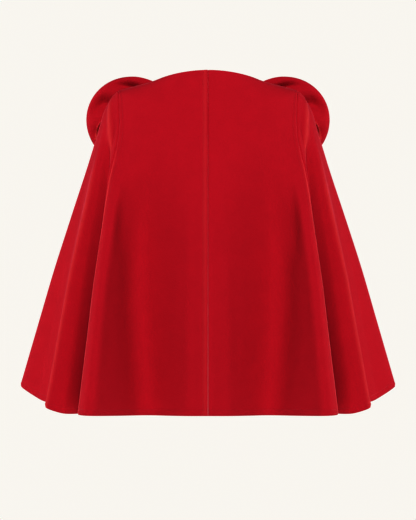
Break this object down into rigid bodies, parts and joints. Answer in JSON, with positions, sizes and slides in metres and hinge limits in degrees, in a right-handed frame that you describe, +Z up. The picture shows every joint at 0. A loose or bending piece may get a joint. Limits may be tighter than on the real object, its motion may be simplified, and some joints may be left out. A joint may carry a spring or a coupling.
{
  "type": "wool cape",
  "caption": "Collarless A-line wool cape in its worn form, seamed back, side panels and fronts, with a large round-looped bow at the front neck.",
  "frame": {"origin": "midway between the two side-neck points, on the ridge of the shoulders, where the wearer holds the cape up", "axes": "+Z up, +Y to the front of the wearer, +X to the wearer's right"},
  "size_m": [0.808, 0.404, 0.7305],
  "materials": {
    "wool": "red double-faced wool, brushed to a short soft nap"
  },
  "bodies": {
    "root": {"back_right": "wool", "back_left": "wool", "side_right": "wool", "side_left": "wool", "front_right": "wool", "front_left": "wool", "bow_loop_right": "wool", "bow_loop_left": "wool", "bow_knot": "wool"}
  },
  "joints": []
}
